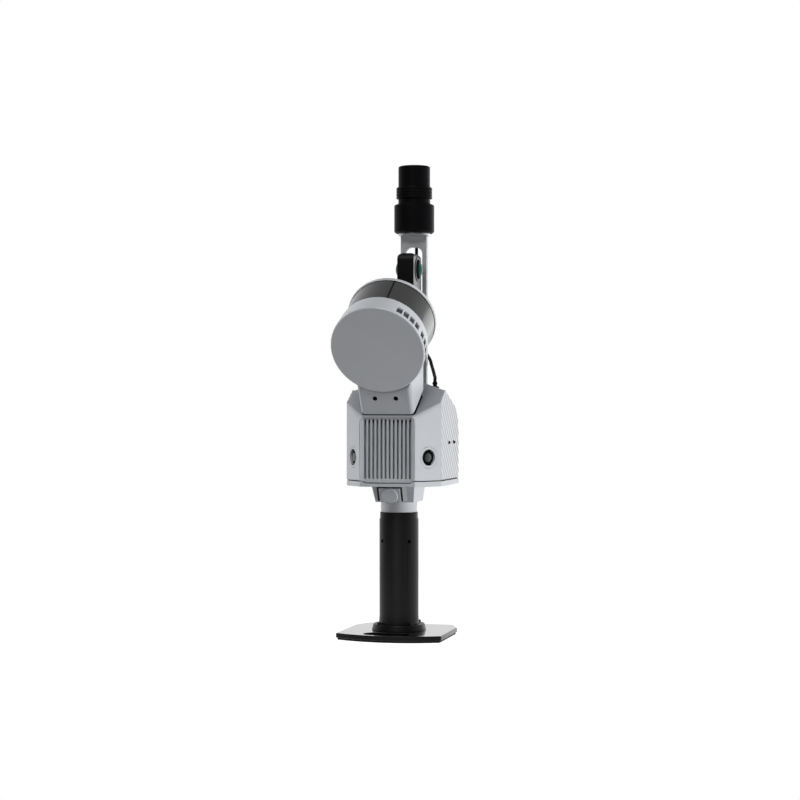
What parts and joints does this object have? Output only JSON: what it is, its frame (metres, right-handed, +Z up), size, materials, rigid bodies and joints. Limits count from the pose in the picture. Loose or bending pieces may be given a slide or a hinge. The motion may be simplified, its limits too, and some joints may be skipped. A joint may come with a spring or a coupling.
{
  "type": "handheld lidar scanner",
  "caption": "Handheld lidar scanner on a base plate with a grip, a finned body, a tilted spinning lidar head and a mast with a panoramic camera and an antenna.",
  "frame": {"origin": "middle of the tripod thread in the underside of the base plate, on the standing surface", "axes": "+Z up along the grip axis, -Y to the front where the lidar leans, +X to the right seen from the front"},
  "size_m": [0.1116, 0.2025, 0.501],
  "materials": {
    "anodised_black": "satin black anodised",
    "pad_rubber": "matte",
    "steel": "plain turned",
    "black_steel": "black oxide",
    "bare_aluminium": "fine satin",
    "grip_plastic": "satin",
    "battery_wrap": "shrink film",
    "silver_paint": "fine bead blasted silver",
    "panel_paint": "fine bead blasted silver",
    "dark_glass": "coated",
    "black_plastic": "matte",
    "circuit_board": "solder mask",
    "flap_rubber": "matte",
    "light_guide": "frosted",
    "smoked_window": "smoked, infrared passing",
    "rotor_plastic": "matte",
    "winding": "enamelled wire",
    "antenna_plastic": "satin",
    "connector_brass": "gold plated",
    "lead_rubber": "satin jacket",
    "camera_plastic": "satin sides",
    "lens_glass": "green coated"
  },
  "bodies": {
    "scanner": {"base_plate": "anodised_black", "base_pad": "pad_rubber", "tripod_insert": "steel", "foot_flange": "anodised_black", "foot_screws": "black_steel", "handle_core": "bare_aluminium", "handle_grip": "grip_plastic", "grip_screws": "black_steel", "battery_pack": "battery_wrap", "handle_collar": "silver_paint", "release_block": "silver_paint", "release_spring": "steel", "bottom_cover": "silver_paint", "bottom_screws": "steel", "main_shell": "silver_paint", "heat_sink": "silver_paint", "left_side_panel": "panel_paint", "right_side_panel": "panel_paint", "panel_screws": "black_steel", "left_camera_bezel": "silver_paint", "right_camera_bezel": "silver_paint", "left_camera_lens": "dark_glass", "right_camera_lens": "dark_glass", "left_camera_module": "black_plastic", "right_camera_module": "black_plastic", "main_board": "circuit_board", "computing_module": "bare_aluminium", "storage_module": "circuit_board", "inertial_unit": "bare_aluminium", "port_panel": "black_plastic", "port_sockets": "black_plastic", "cover_pin": "steel", "status_ring": "light_guide", "lidar_mount": "silver_paint", "mount_screws": "black_steel", "lidar_cap": "bare_aluminium", "lidar_window": "smoked_window", "lidar_base": "bare_aluminium", "lidar_base_screws": "steel", "lidar_shaft": "steel", "lidar_bearings": "steel", "lidar_stator": "winding", "mast_bracket": "silver_paint", "mast_screws": "steel", "antenna_flange": "bare_aluminium", "antenna_base": "antenna_plastic", "antenna_band": "antenna_plastic", "antenna_radome": "antenna_plastic", "antenna_connector": "connector_brass", "antenna_lead": "lead_rubber", "lead_plug": "lead_rubber", "antenna_socket": "connector_brass", "pano_body": "camera_plastic", "pano_lenses": "lens_glass", "pano_screw": "steel"},
    "rotor": {"lidar_rotor": "rotor_plastic"},
    "release": {"release_button": "silver_paint"},
    "power": {"power_button": "black_plastic"},
    "flap": {"port_cover": "flap_rubber"},
    "shutter": {"pano_button": "black_plastic"}
  },
  "joints": [
    {"name": "lidar_spin", "type": "hinge", "parent": "scanner", "child": "rotor", "pos_m": [0, -0.04966, 0.3202], "axis": [0, 0.866, 0.5], "continuous": true},
    {"name": "release_press", "type": "slide", "parent": "scanner", "child": "release", "axis": [0, 1, 0], "range_m": [0, 0.0025], "stiffness_N_per_m": 600, "springref_m": -0.005, "deforming": ["release_spring"]},
    {"name": "power_press", "type": "slide", "parent": "scanner", "child": "power", "axis": [0, -1, 0], "range_m": [0, 0.0012], "stiffness_N_per_m": 500, "springref_m": -0.003},
    {"name": "port_flap", "type": "hinge", "parent": "scanner", "child": "flap", "pos_m": [-0.033, 0.0669, 0.1674], "axis": [-1, 0, 0], "range_deg": [0, 110]},
    {"name": "shutter_press", "type": "slide", "parent": "scanner", "child": "shutter", "axis": [-1, 0, 0], "range_m": [0, 0.0007], "stiffness_N_per_m": 500, "springref_m": -0.003}
  ]
}
